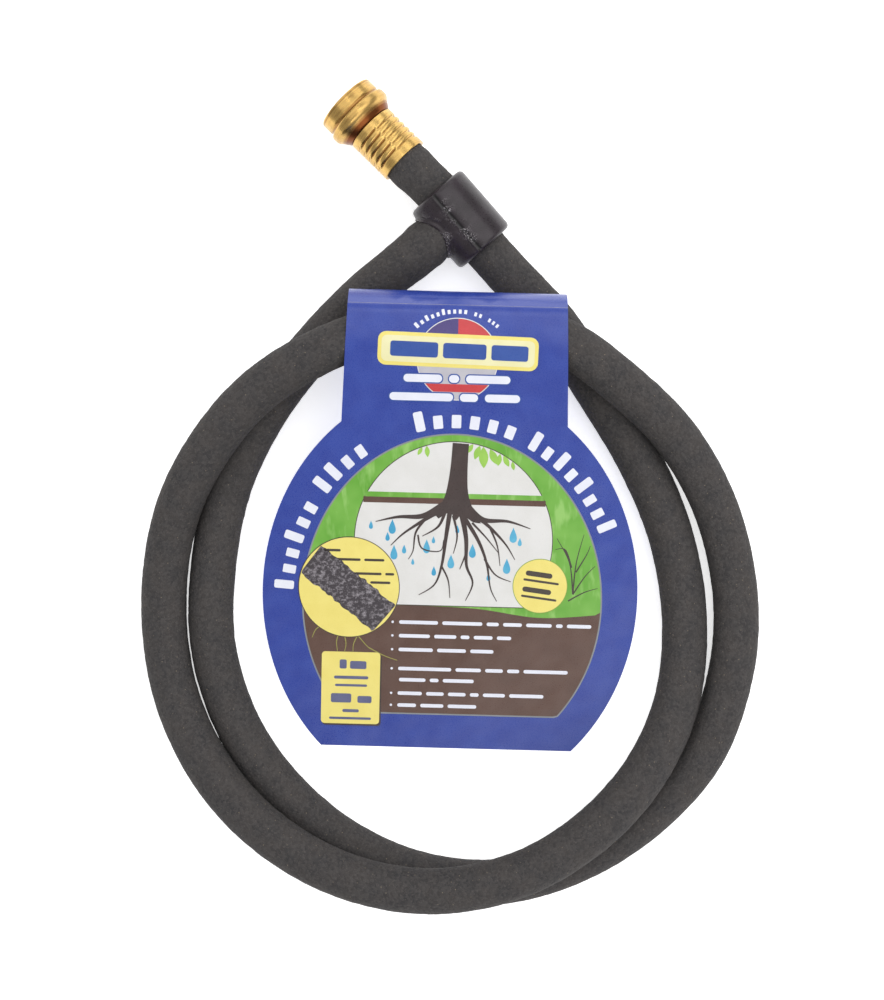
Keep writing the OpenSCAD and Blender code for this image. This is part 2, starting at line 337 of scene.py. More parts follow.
def crumb_rubber():
    """Matte recycled rubber: bonded crumbs with pores between them and a few pale specks."""
    f = Finish("crumb_rubber", roughness=0.9, specular=0.25)
    place = f.where("straight")
    crumb = f.cells(place, 1.1 * MM)
    shade = f.cells(place, 1.1 * MM, "Color")
    grain = f.noise(place, 0.5 * MM, 3, 0.6)
    patch = f.noise(place, 9 * MM, 2)
    dark = f.mix(f.spread(patch, 0.35, 0.65), rgb(53, 52, 53), rgb(62, 59, 58))
    worn = f.mix(f.spread(shade, 0.2, 0.9, 0.0, 0.55), dark, rgb(80, 77, 76))
    gritty = f.mix(f.spread(grain, 0.55, 0.8, 0.0, 0.8), worn, rgb(102, 94, 91))
    fleck = f.cells(place, 3.1 * MM)
    specked = f.mix(f.spread(fleck, 0.10, 0.04, 0.0, 0.8), gritty, rgb(128, 116, 100))
    f.set("Base Color", specked)
    f.set("Roughness", f.spread(grain, 0.3, 0.7, 0.78, 0.98))
    coarse = f.bump(f.spread(crumb, 0.0, 0.7, 1.0, 0.0), 0.16 * MM)
    f.set("Normal", f.bump(grain, 0.10 * MM, under=coarse))
    return f.material


def tee_plastic():
    """Glossy dark moulded plastic with a faint violet cast, flow marks, fine scuffs, a painted dark shade
    along the parting line and painted pale glints on the rough flecks.
    """
    f = Finish("tee_plastic", specular=0.36)
    place = f.where()
    cloud = f.noise(place, 6 * MM, 3)
    fine = f.noise(place, 0.8 * MM, 3, 0.6)
    flecks = f.noise(place, 0.55 * MM, 4, 0.75)
    plain = f.mix(f.spread(cloud, 0.3, 0.7), rgb(36, 30, 34), rgb(48, 41, 46))
    # Painted shade: a near-black band along the parting line, wider than the groove pressed there
    parting_shaded = f.mix(f.stored("painted_parting_shade"), plain, rgb(9, 8, 9))
    # Painted highlights: pale glints on the rough flecks beside the parting line and the lip
    painted_glints = f.sum("MULTIPLY", f.stored("flecked"), f.spread(flecks, 0.54, 0.62))
    f.set("Base Color", f.mix(painted_glints, parting_shaded, rgb(186, 180, 184)))
    f.set("Roughness", f.spread(fine, 0.3, 0.7, 0.24, 0.40))
    wavy = f.bump(cloud, 0.16 * MM)
    scuffed = f.bump(f.sum("MULTIPLY", f.stored("flecked"), flecks), 0.5 * MM, under=wavy)
    f.set("Normal", f.bump(fine, 0.03 * MM, under=scuffed))
    return f.material


def moulded(name, low, high, specular, grain, roughness, depth):
    """Plain moulded plastic with a fine grain."""
    f = Finish(name, specular=specular)
    fine = f.noise(f.where(), grain, 3)
    f.set("Base Color", f.mix(fine, low, high))
    f.set("Roughness", f.spread(fine, 0.3, 0.7, *roughness))
    f.set("Normal", f.bump(fine, depth))
    return f.material


def brass(name, light, deep):
    """Turned brass: warm satin gold, browned where a stored point value is high; that value holds tarnish
    together with painted shade in the hollows and on the rear cone.
    """
    f = Finish(name, metallic=1.0)
    place = f.where("turned")
    rings = f.noise(f.stretched(place, (1, 0.02, 0.02)), 0.12 * MM, 2)
    cloud = f.noise(place, 4 * MM, 3, 0.6)
    spots = f.noise(place, 0.9 * MM, 3, 0.7)
    clean = f.mix(f.spread(cloud, 0.3, 0.7), light, tuple(0.86 * c for c in light[:3]) + (1,))
    streaks = f.noise(f.stretched(place, (1, 0.06, 0.06)), 0.6 * MM, 3, 0.6)
    streaked = f.mix(f.spread(streaks, 0.5, 0.75, 0.0, 0.42), clean, deep)
    stained = f.mix(f.spread(spots, 0.58, 0.74, 0.0, 0.25), streaked, deep)
    # Painted shade: the deep colour browns the hollows, together with tarnish, where the stored value is high
    f.set("Base Color", f.mix(f.stored("tarnish_and_shade"), stained, deep))
    f.set("Roughness", f.spread(cloud, 0.3, 0.7, 0.22, 0.34))
    turned = f.bump(rings, 0.012 * MM)
    f.set("Normal", f.bump(spots, 0.02 * MM, under=turned))
    return f.material


def washer_rubber():
    """Smooth black sealing rubber with a dusty bloom."""
    f = Finish("washer_rubber", specular=0.4)
    place = f.where()
    bloom = f.noise(place, 2 * MM, 3)
    fine = f.noise(place, 0.3 * MM, 2)
    f.set("Base Color", f.mix(bloom, rgb(26, 26, 27), rgb(48, 47, 46)))
    f.set("Roughness", f.spread(bloom, 0.3, 0.7, 0.5, 0.75))
    f.set("Normal", f.bump(fine, 0.02 * MM))
    return f.material


def ink(name, main, other, gloss=0.3, painted_fold_sheen=None):
    """Coated print in one colour with a slight drift, fine paper tooth and soft gloss.

    The optional paler colour is a painted sheen over the fold, shown where the stored point value for it is
    high.
    """
    f = Finish(name, specular=0.5)
    place = f.where()
    drift = f.noise(place, 9 * MM, 2)
    tooth = f.noise(place, 0.35 * MM, 3)
    ripple = f.noise(place, 26 * MM, 2)
    colour = f.mix(f.spread(drift, 0.35, 0.65), main, other)
    if painted_fold_sheen:
        # Painted sheen: the paler colour over the fold
        colour = f.mix(f.stored("painted_fold_sheen"), colour, painted_fold_sheen)
    f.set("Base Color", colour)
    f.set("Roughness", f.spread(tooth, 0.3, 0.7, gloss - 0.05, gloss + 0.08))
    waved = f.bump(ripple, 0.9 * MM)
    f.set("Normal", f.bump(tooth, 0.005 * MM, under=waved))
    return f.material


def board():
    """Uncoated white board with visible fibres."""
    f = Finish("white_board", roughness=0.8, specular=0.3)
    place = f.where()
    fibre = f.noise(f.stretched(place, (1, 3, 1)), 1.2 * MM, 4, 0.7)
    f.set("Base Color", f.mix(f.spread(fibre, 0.3, 0.7), rgb(236, 233, 226), rgb(222, 218, 208)))
    f.set("Normal", f.bump(fibre, 0.03 * MM))
    return f.material


def grass_ink():
    """Green print with paler blades that fan upwards."""
    f = Finish("ink_green", specular=0.5, roughness=0.3)
    place = f.where()
    blades = f.noise(f.stretched(place, (1, 0.16, 1)), 5 * MM, 3, 0.6)
    drift = f.noise(place, 14 * MM, 2)
    plain = f.mix(f.spread(drift, 0.35, 0.65), rgb(94, 158, 48), rgb(116, 174, 70))
    f.set("Base Color", f.mix(f.spread(blades, 0.52, 0.68, 0.0, 0.55), plain, rgb(160, 204, 118)))
    f.set("Normal", f.bump(f.noise(place, 0.35 * MM, 3), 0.008 * MM))
    return f.material


def speckled_ink():
    """Dark print with pale grey speckles, for the small picture of a hose."""
    f = Finish("speckled_ink", specular=0.5, roughness=0.35)
    place = f.where()
    speck = f.noise(place, 1.8 * MM, 5, 0.75)
    f.set("Base Color", f.mix(f.spread(speck, 0.48, 0.74), rgb(54, 48, 53), rgb(170, 164, 170)))
    f.set("Normal", f.bump(speck, 0.01 * MM))
    return f.material


FLOOR_GLOW = 0.62


def floor_white():
    """Pale studio floor, lit a little from below like a light table."""
    f = Finish("floor_white", roughness=0.9, specular=0.0)
    f.set("Base Color", rgb(250, 250, 250))
    f.set("Emission Color", rgb(255, 255, 255))
    f.set("Emission Strength", FLOOR_GLOW)
    return f.material


# ---- Hose

SPAN_STEPS = 120
SKIN_SIDES = 60
SKIN_STEP = 1.02 * MM
SKIN_INSET = 0.10 * MM
# The bore has a point for every two of the skin's round it, and a ring for every eight along it
BORE_SHARE = 2
BORE_SPACING = 8


def hose_piece(name, route, swell, seed, material):
    """A porous hose as a closed tube with a real bore. swell gives the extra radius along it."""
    centres, along = even_line(spline_points(route, SPAN_STEPS), SKIN_STEP)
    ahead = unit(np.gradient(centres, axis=0))
    side = unit(np.cross(ahead, (0, 0, 1)))
    up = np.cross(side, ahead)
    rings = len(centres)

    def tube(sides, radius):
        angle = np.arange(sides) * TAU / sides - TAU / 4
        cos, sin = np.cos(angle), np.sin(angle)
        outward = cos[None, :, None] * side[:, None] + sin[None, :, None] * up[:, None]
        far = np.broadcast_to(along[:, None], (rings, sides))
        straight = np.stack([far, radius * cos + 0 * far, radius * sin + 0 * far], axis=2).reshape(-1, 3)
        return outward, straight

    outward, straight = tube(SKIN_SIDES, HOSE_R)
    crumbs = (
        0.13 * lumps(straight, 4.5 * MM, seed)
        + 0.10 * lumps(straight, 2.2 * MM, seed + 7)
        + 0.07 * lumps(straight, 32 * MM, seed + 13)
    )
    pores = np.clip(lumps(straight, 1.7 * MM, seed + 21) - 0.3, 0, 1)
    skin = HOSE_R - SKIN_INSET + MM * (crumbs - 0.5 * pores)
    skin = skin.reshape(rings, SKIN_SIDES) + swell(along, along[-1])[:, None]
    outer = (centres[:, None] + skin[..., None] * outward).reshape(-1, 3)

    bore_sides = SKIN_SIDES // BORE_SHARE
    inward, bore_straight = tube(bore_sides, HOSE_BORE_R)
    inner = (centres[:, None] + HOSE_BORE_R * inward).reshape(-1, 3)
    keep = np.unique(np.append(np.arange(0, rings, BORE_SPACING), rings - 1))
    pick = (keep[:, None] * bore_sides + np.arange(bore_sides)).ravel()
    inner, bore_straight = inner[pick], bore_straight[pick]

    faces = wrap_faces(rings, SKIN_SIDES, 0, False)
    faces += wrap_faces(len(keep), bore_sides, len(outer), True)
    last_outer = (rings - 1) * SKIN_SIDES
    last_inner = len(outer) + (len(keep) - 1) * bore_sides
    for j in range(bore_sides):
        n = (j + 1) % bore_sides
        rim = [(BORE_SHARE * j + k) % SKIN_SIDES for k in range(BORE_SHARE + 1)]
        faces.append([len(outer) + n, len(outer) + j] + rim)
        faces.append([last_inner + j, last_inner + n] + [last_outer + k for k in reversed(rim)])
    piece = mesh_piece(name, np.vstack([outer, inner]), faces, [material])
    note(piece, "straight", np.vstack([straight, bore_straight]))
    crease_by_angle(piece, 60)
    return piece, centres


def wrap_faces(rings, sides, start, flipped):
    """Quads between neighbouring rings of points."""
    index = start + np.arange(rings * sides).reshape(rings, sides)
    low, high = index[:-1], index[1:]
    quads = np.stack([low, high, np.roll(high, -1, 1), np.roll(low, -1, 1)], 2).reshape(-1, 4)
    return (quads[:, ::-1] if flipped else quads).tolist()


def ring_swell(along, total):
    """The hose end bulges just outside the tee's branch."""
    from_branch = total - along
    return MM * (0.8 * bell(from_branch, 8.5 * MM, 4 * MM) + 0.45 * bell(from_branch, 17 * MM, 8 * MM))


def inlet_swell(along, total):
    """The hose bulges a little where the ferrule squeezes it."""
    return 0.45 * MM * bell(total - along, 25 * MM, 3.5 * MM)


# ---- Lathe work

ROUND_STEPS = 4


def softened(corners):
    """A closed outline from (x, radius, rounding) corners, each rounded with a small curve."""
    outline = []
    count = len(corners)
    for k, (x, r, rounding) in enumerate(corners):
        here = np.array((x, r))
        before = np.array(corners[k - 1][:2])
        after = np.array(corners[(k + 1) % count][:2])
        if rounding == 0:
            outline.append(here)
            continue
        entry = here + unit(before - here) * min(rounding, np.linalg.norm(before - here) / 2)
        leave = here + unit(after - here) * min(rounding, np.linalg.norm(after - here) / 2)
        for t in np.linspace(0, 1, ROUND_STEPS + 1):
            outline.append((1 - t) ** 2 * entry + 2 * t * (1 - t) * here + t**2 * leave)
    return np.array(outline)


def refined(outline, step):
    """A closed outline with its long edges divided."""
    result = []
    for here, after in zip(outline, np.roll(outline, -1, axis=0)):
        parts = max(1, math.ceil(np.linalg.norm(after - here) / step))
        result += [here + (after - here) * k / parts for k in range(parts)]
    return np.array(result)


def turned_piece(name, outline, sides, material, carve, tarnish_and_shade):
    """A part of the coupling, turned about local X. carve gives each point's change of radius."""
    angle = np.arange(sides) * TAU / sides
    x = np.repeat(outline[:, 0][:, None], sides, axis=1)
    r = np.repeat(outline[:, 1][:, None], sides, axis=1)
    angle = np.broadcast_to(angle, x.shape)
    change = carve(x, r, angle)
    radius = r + change
    local = np.stack([x, radius * np.cos(angle), radius * np.sin(angle)], axis=2).reshape(-1, 3)
    low = np.arange(x.size).reshape(x.shape)
    high = np.roll(low, -1, 0)
    faces = np.stack([low, np.roll(low, -1, 1), np.roll(high, -1, 1), high], 2).reshape(-1, 4)
    piece = mesh_piece(name, local, faces.tolist(), [material], coupling_place)
    note(piece, "turned", local)
    # Tarnish together with painted shade, stored for the brass material
    note(piece, "tarnish_and_shade", np.clip(tarnish_and_shade(x, r, change), 0, 1).ravel())
    crease_by_angle(piece, 50)
    return piece


THREAD_PITCH = 2.209 * MM
THREAD_CREST_R = 12.2 * MM
THREAD_DEPTH = 1.15 * MM
THREAD_START = 29.4 * MM
THREAD_END = 37.4 * MM
NUT_FRONT = NUT_REAR + NUT_LEN
NUT_SIDES = 192
FERRULE_SIDES = 240


def swivel_nut(material):
    """Female hose-thread nut: rounded rim, plain band, groove, bead, cone and a real thread."""
    def front(u):
        return NUT_FRONT - u * MM
    band, bead = 14.4 * MM, 15.5 * MM
    corners = [
        (front(0), 13.2 * MM, 0.5 * MM), (front(0.1), band, 0.7 * MM),
        (front(5.6), band, 0.3 * MM), (front(6.1), 13.9 * MM, 0.4 * MM),
        (front(6.9), 13.95 * MM, 0.4 * MM), (front(7.6), bead, 0.9 * MM),
        (front(11.0), bead, 1.2 * MM), (front(12.7), 13.9 * MM, 0.5 * MM),
        (NUT_REAR + 0.4 * MM, 11.8 * MM, 0.4 * MM), (NUT_REAR, 11.3 * MM, 0.2 * MM),
        (NUT_REAR, 8.7 * MM, 0.2 * MM), (NUT_REAR + 2.2 * MM, 8.7 * MM, 0.1 * MM),
        (NUT_REAR + 2.2 * MM, 12.7 * MM, 0), (THREAD_START, 12.7 * MM, 0),
        (THREAD_START + 0.1 * MM, THREAD_CREST_R, 0), (THREAD_END, THREAD_CREST_R, 0.1 * MM),
    ]
    outline = refined(softened(corners), 0.16 * MM)

    def thread(x, r, angle):
        wall = (np.abs(r - THREAD_CREST_R) < 0.02 * MM) & (x > THREAD_START) & (x < THREAD_END)
        phase = (x / THREAD_PITCH + angle / TAU) % 1
        vee = np.clip(1.25 - np.abs(phase - 0.5) * 3.2, 0, 1)
        fade = smooth_step(x, THREAD_START, THREAD_START + 1.2 * MM)
        fade = fade * (1 - 0.5 * smooth_step(x, THREAD_END - 0.8 * MM, THREAD_END))
        return np.where(wall, THREAD_DEPTH * vee * fade, 0)

    # Painted shade with some tarnish: the groove, the line behind the rim, the rear cone, the inside and the
    # thread's grooves are browned where shade falls; the outside is dulled evenly.
    def tarnish_and_shade(x, r, change):
        outside = r > 13.5 * MM
        groove = bell(x, front(6.5), 0.5 * MM) * outside
        behind_rim = 0.6 * bell(x, front(1.2), 0.25 * MM) * outside
        cone = 0.75 * smooth_step(x, front(12.4), front(13.6)) * (r > 11 * MM)
        inside = 0.35 * (r < 13 * MM)
        dulled = 0.12 * outside
        return 0.6 * groove + behind_rim + cone + inside + dulled + 0.3 * change / THREAD_DEPTH

    return turned_piece("swivel_nut_turned", outline, NUT_SIDES, material, thread, tarnish_and_shade)


GROOVE_FIRST = 4.6 * MM
GROOVE_PITCH = 3.2 * MM
GROOVE_DEPTH = 0.5 * MM
GROOVES = 5
JAWS = 6


def ferrule(material):
    """Crimped sleeve: five grooves pressed by six jaws, with plain bands at both ends."""
    corners = [
        (0, HOSE_R + 0.02 * MM, 0.1 * MM), (0, FERRULE_R + 0.05 * MM, 0.3 * MM),
        (2.4 * MM, FERRULE_R, 0.5 * MM), (FERRULE_LEN, FERRULE_R, 0.5 * MM),
        (FERRULE_LEN, 7.4 * MM, 0.1 * MM), (FERRULE_LEN - 1 * MM, 7.4 * MM, 0.1 * MM),
        (FERRULE_LEN - 1 * MM, HOSE_R + 0.02 * MM, 0),
    ]
    outline = refined(softened(corners), 0.15 * MM)

    def crimp(x, r, angle):
        jaw = angle / TAU * JAWS - 0.5
        across = jaw % 1
        doubled = np.floor(jaw) % 2 == 1
        slant = 0.8 * MM * (across - 0.5)
        seam = bell(np.minimum(across, 1 - across), 0, 0.045)
        along = x - GROOVE_FIRST - slant
        last = (GROOVES - 0.5) * GROOVE_PITCH
        zone = smooth_step(along, -GROOVE_PITCH / 2, 0)
        zone = zone * (1 - smooth_step(along, last - GROOVE_PITCH / 2, last))
        from_groove = np.abs((along / GROOVE_PITCH + 0.5) % 1 - 0.5) * GROOVE_PITCH
        from_half = np.abs((2 * along / GROOVE_PITCH + 0.5) % 1 - 0.5) * GROOVE_PITCH / 2
        single = bell(from_groove, 0, 0.5 * MM)
        double = 0.6 * bell(from_half, 0, 0.28 * MM)
        depth = np.where(doubled, double, single) * (1 - 0.7 * seam)
        dome = 0.10 * MM * np.cos(TAU * along / GROOVE_PITCH + np.pi)
        return np.where(r > 11 * MM, zone * (dome - GROOVE_DEPTH * depth) - 0.06 * MM * seam * zone, 0)

    # Painted shade with some tarnish: the crimped grooves and the inside are browned where shade falls.
    def tarnish_and_shade(x, r, change):
        return 0.75 * smooth_step(-change, 0.18 * MM, 0.5 * MM) + 0.4 * (r < 11 * MM)

    return turned_piece("ferrule_crimped", outline, FERRULE_SIDES, material, crimp, tarnish_and_shade)


# ---- Tee

TEE_SIDES = 128
VOXEL = 0.36 * MM
# How far round the sleeve from its top the moulding's parting line lies, towards the branch
PARTING = 3.2 * MM


def solid_round(name, outline, axis_place):
    """A solid turned about local X from an open (x, radius) outline, with flat ends."""
    angle = np.arange(TEE_SIDES) * TAU / TEE_SIDES
    circle = np.stack([np.cos(angle), np.sin(angle)], axis=1)
    rings = [np.insert(r * circle, 0, x, axis=1) for x, r in outline]
    faces = wrap_faces(len(rings), TEE_SIDES, 0, True)
    last = (len(rings) - 1) * TEE_SIDES
    faces.append(list(range(TEE_SIDES))[::-1])
    faces.append(list(range(last, last + TEE_SIDES)))
    return mesh_piece(name, np.vstack(rings), faces, [], axis_place)


def combine(piece, tool, operation):
    """One boolean step, which uses up the tool."""
    step = piece.modifiers.new(operation, "BOOLEAN")
    step.operation = operation
    step.object = tool
    step.solver = "EXACT"
    finish_modifiers(piece)
    bpy.data.objects.remove(tool)


def tee_sleeve(material):
    """Moulded sleeve with a raised lip, soft edges, a parting line and rough flecks beside it."""
    half = TEE_LEN / 2
    edge = 2.2 * MM
    turn = np.linspace(0, TAU / 4, 9)
    right = [(half - edge + edge * math.sin(a), TEE_R - edge + edge * math.cos(a)) for a in turn]
    left = [(-x, r) for x, r in right[::-1]]
    sleeve = solid_round("tee_sleeve", left + right, None)
    out = Matrix.Translation((BRANCH_SHIFT, 0, 0)) @ Matrix.Rotation(TAU / 4, 4, "Z")
    lip = solid_round("lip", [(0, LIP_R), (TEE_R + 5 * MM, LIP_R)], out)
    reach = TEE_R + LIP_HEIGHT
    lip_limit = solid_round("limit", [(-half + edge, reach), (half - edge, reach)], None)
    combine(lip, lip_limit, "INTERSECT")
    combine(sleeve, lip, "UNION")
    combine(sleeve, solid_round("run", [(-half - edge, HOSE_R), (half + edge, HOSE_R)], None), "DIFFERENCE")
    combine(sleeve, solid_round("branch", [(0, HOSE_R), (2 * TEE_R, HOSE_R)], out), "DIFFERENCE")
    remesh = sleeve.modifiers.new("remesh", "REMESH")
    remesh.mode = "VOXEL"
    remesh.voxel_size = VOXEL
    smooth = sleeve.modifiers.new("smooth", "SMOOTH")
    smooth.factor = 0.5
    smooth.iterations = 5
    finish_modifiers(sleeve)
    roughen_tee(sleeve)
    sleeve.data.materials.clear()
    sleeve.data.materials.append(material)
    sleeve.data.transform(tee_place)
    sleeve.data.shade_smooth()
    return sleeve


def roughen_tee(sleeve):
    """Presses the parting line and its flecks into the sleeve, in the tee's own frame."""
    mesh = sleeve.data
    points = np.zeros(len(mesh.vertices) * 3)
    mesh.vertices.foreach_get("co", points)
    points = points.reshape(-1, 3)
    normals = np.array([v.normal for v in mesh.vertices])
    along, out, high = points.T
    around = np.arctan2(out, high)
    outside = smooth_step(np.hypot(out, high), TEE_R - 0.8 * MM, TEE_R - 0.4 * MM)
    groove = bell(around * TEE_R, PARTING, 0.75 * MM) * (high > 0)
    flash = bell(around * TEE_R, PARTING + 1.2 * MM, 0.4 * MM) * (high > 0)
    near_line = bell(around * TEE_R, PARTING - 0.6 * MM, 2.4 * MM)
    reach = smooth_step(-np.abs(along), -13 * MM, -9 * MM)
    patchy = smooth_step(lumps(points, 4 * MM, 3), -0.15, 0.15)
    fleck = np.clip(lumps(points, 0.8 * MM, 5) + 0.1, 0, 1)
    wave = lumps(points, 7 * MM, 9)
    near_lip = bell(np.hypot(along - BRANCH_SHIFT, high), LIP_R, 1.6 * MM) * smooth_step(out, 7 * MM, 10 * MM)
    flecked = np.maximum(near_line * reach, near_lip) * patchy
    lift = MM * outside * (0.22 * flash - 0.35 * groove + 0.22 * flecked * fleck + 0.04 * wave)
    points = points + normals * lift[:, None]
    mesh.vertices.foreach_set("co", points.ravel())
    # The flecks' mask, which drives both their bump and their painted pale glints
    note(sleeve, "flecked", outside * flecked)
    # Painted shade along the parting line, for the material
    note(sleeve, "painted_parting_shade", outside * bell(around * TEE_R, PARTING, 1.0 * MM) * (high > 0))


# ---- Card

NECK_TOP_HALF = 48 * MM
NECK_LOW_HALF = 50 * MM
OVAL_HALF_W = 84 * MM
OVAL_HALF_H = 95 * MM
OVAL_DROP = 124 * MM
NECK_END = OVAL_DROP - OVAL_HALF_H * math.sqrt(1 - (NECK_LOW_HALF / OVAL_HALF_W) ** 2)
NECK_TOP_V = -(FOLD_R + 2 * MM)
BEND_WIDTH = 4 * MM
# The front's foot hangs this far below the fold's axis, and the back's rests on the floor
FRONT_HANG = 32.2 * MM
FRONT_SLOPE = (FOLD_R + CARD_T + FRONT_HANG) / (CARD_DROP - FLAT_RUN)
BACK_SLOPE = (FOLD_AXIS[2] - FOLD_R - CARD_T) / (CARD_DROP - FLAT_RUN)
CARD_COLUMNS = 73
# Rows are 1 mm apart down to the first number, and the second number of them covers the rest
CARD_ROWS = (30, 84)
WARP = 0.5 * MM
PUCKER = 0.5 * MM
PUCKER_V = -7.8 * MM
INK_T = 0.05 * MM
INK_SINK = 0.02 * MM
# Spacing of the points inside a print, in millimetres
GRID = 2.5
FINE_GRID = 1.5


def half_width(v):
    """Half the card's width at a distance v below the fold's axis."""
    neck = NECK_TOP_HALF + (NECK_LOW_HALF - NECK_TOP_HALF) * (v - NECK_TOP_V) / (NECK_END - NECK_TOP_V)
    oval = OVAL_HALF_W * np.sqrt(np.clip(1 - ((v - OVAL_DROP) / OVAL_HALF_H) ** 2, 0, 1))
    return np.where(v <= NECK_END, neck, oval)


def fall(v):
    """How far down a soft bend at the end of the flat stretch has led, per unit of slope."""
    past = v - FLAT_RUN
    return (past + np.hypot(past, BEND_WIDTH)) / 2 - (np.hypot(FLAT_RUN, BEND_WIDTH) - FLAT_RUN) / 2


def warp(u, v):
    """Gentle waves that grow towards the card's foot, and small puckers behind its crease."""
    wave = 0.5 + 0.3 * np.sin(u / (31 * MM) + 0.8) + 0.2 * np.cos(v / (27 * MM) + u / (60 * MM))
    pucker = 0.5 + 0.3 * np.sin(u / (4.3 * MM) + 1.3) + 0.2 * np.sin(u / (9.1 * MM))
    return WARP * wave * smooth_step(v, 10 * MM, 120 * MM) + PUCKER * pucker * bell(v, PUCKER_V, 1.5 * MM)


def front_height(u, v):
    """Height of the front panel's printed side above the fold's axis."""
    over = np.sqrt(np.clip((FOLD_R + CARD_T) ** 2 - np.minimum(v, 0) ** 2, 0, None))
    return np.where(v < 0, over, FOLD_R + CARD_T - FRONT_SLOPE * fall(np.maximum(v, 0))) + warp(u, v)


def front_point(u, v, lift):
    """Points on the front's printed side, in the card's frame, lifted off it."""
    step = 0.2 * MM
    steep = (front_height(u, v + step) - front_height(u, v - step)) / (2 * step)
    normal = unit(np.stack([0 * v, steep, 1 + 0 * v], axis=-1))
    return np.stack([u, -v, front_height(u, v)], axis=-1) + lift * normal


def card_rows():
    """Distances down the card for its rows of points, closer together at the bend and the neck."""
    near, count = CARD_ROWS
    rest = np.linspace(near, CARD_DROP / MM, count)
    rows = np.unique(np.concatenate([np.arange(near), rest, [NECK_END / MM]])) * MM
    return rows[rows > 0]


def card_sheet(name, path, print_ink, plain, outward):
    """A closed sheet of card from its printed side's path of (v, z), thick towards the inside."""
    columns = np.linspace(-1, 1, CARD_COLUMNS)
    heading = unit(np.gradient(path, axis=0))
    normal = outward * np.stack([-heading[:, 1], heading[:, 0]], axis=1)
    layers = []
    for depth in (0, CARD_T):
        line = path - depth * normal
        u = columns[None, :] * half_width(path[:, 0])[:, None]
        v = np.repeat(line[:, 0][:, None], len(columns), axis=1)
        z = line[:, 1][:, None] + warp(u, v)
        layers.append(np.stack([u, -v, z], axis=2))
    points = np.concatenate([layer.reshape(-1, 3) for layer in layers])
    rows, wide = len(path), len(columns)
    index = np.arange(rows * wide).reshape(rows, wide)
    under = rows * wide
    quads = np.stack([index[:-1, :-1], index[:-1, 1:], index[1:, 1:], index[1:, :-1]], 2).reshape(-1, 4)
    edge = np.concatenate([index[0, :-1], index[:-1, -1], index[-1, :0:-1], index[:0:-1, 0]])
    after = np.roll(edge, -1)
    rim = np.stack([edge, after, after + under, edge + under], 1)
    faces = np.vstack([quads[:, ::-1], quads + under, rim])[:, ::outward]
    finish = [0] * len(quads) + [1] * (len(quads) + len(rim))
    piece = mesh_piece(name, points, faces.tolist(), [print_ink, plain], card_place, finish)
    # Painted sheen over the fold, stored for the print's material
    note(piece, "painted_fold_sheen", fold_sheen_amount(points[:, 0], -points[:, 1], points[:, 2]))
    crease_by_angle(piece, 50)
    return piece


def fold_sheen_amount(u, v, z):
    """How much painted sheen lightens the print: over the fold, except for a ragged patch in its middle."""
    crease_v = -FOLD_R * math.cos(CREASE)
    ragged = 1.2 * MM * np.sin(u / (3.1 * MM)) * np.sin(u / (7.3 * MM) + 1)
    ragged = ragged + 0.5 * MM * np.sin(u / (1.3 * MM))
    behind = smooth_step(crease_v - v, 1.6 * MM + ragged, 3.0 * MM + ragged)
    middle = smooth_step(u, -34 * MM, -26 * MM) * (1 - smooth_step(u, 16 * MM, 25 * MM))
    kept = np.maximum(behind * middle, bell(u, -2 * MM, 7 * MM))
    over = smooth_step(crease_v - v, -0.2 * MM, 0.1 * MM) * (z > 0)
    return over * (1 - kept)


def card_panel(name, fold_turns, side, slope, print_ink, plain):
    """A panel with its share of the fold. side is 1 for the front and -1 for the back."""
    radius = FOLD_R + CARD_T
    over = np.stack([-radius * np.cos(fold_turns), radius * np.sin(fold_turns)], axis=1)
    rows = card_rows()
    down = np.stack([rows, side * radius - slope * fall(rows)], axis=1)
    return card_sheet(name, np.vstack([over, down]), print_ink, plain, side)


# ---- Print on the card: shapes in card millimetres, u to the right and v down

def disc(u, v, radius, radius_v=None, start=0.0, stop=TAU, steps=96):
    turn = np.linspace(start, stop, steps, endpoint=stop - start < TAU - 0.001)
    return np.stack([u + radius * np.cos(turn), v + (radius_v or radius) * np.sin(turn)], axis=1)


def turned(outline, u, v, turn):
    """An outline turned about its own origin and moved to a place."""
    cos, sin = math.cos(turn), math.sin(turn)
    x, y = outline.T
    return np.stack([u + x * cos - y * sin, v + x * sin + y * cos], axis=1)


def bar(u, v, width, height, turn=0.0, rounding=None):
    """A bar with rounded ends or corners, turned about its middle."""
    r = min(width, height) / 2 if rounding is None else rounding
    corners = [
        disc(su * (width / 2 - r), sv * (height / 2 - r), max(r, 0.01),
             start=k * TAU / 4, stop=(k + 1) * TAU / 4, steps=6)
        for k, (su, sv) in enumerate(((1, 1), (-1, 1), (-1, -1), (1, -1)))
    ]
    return turned(np.vstack(corners), u, v, turn)


def stroke(points, start_width, end_width):
    """A tapered line through a few points."""
    line, along = even_line(spline_points(np.array(points, float), 12), 1.0)
    heading = unit(np.gradient(line, axis=0))
    across = np.stack([-heading[:, 1], heading[:, 0]], axis=1)
    half = (start_width + (end_width - start_width) * (along / along[-1]))[:, None] / 2
    return np.vstack([line + half * across, (line - half * across)[::-1]])


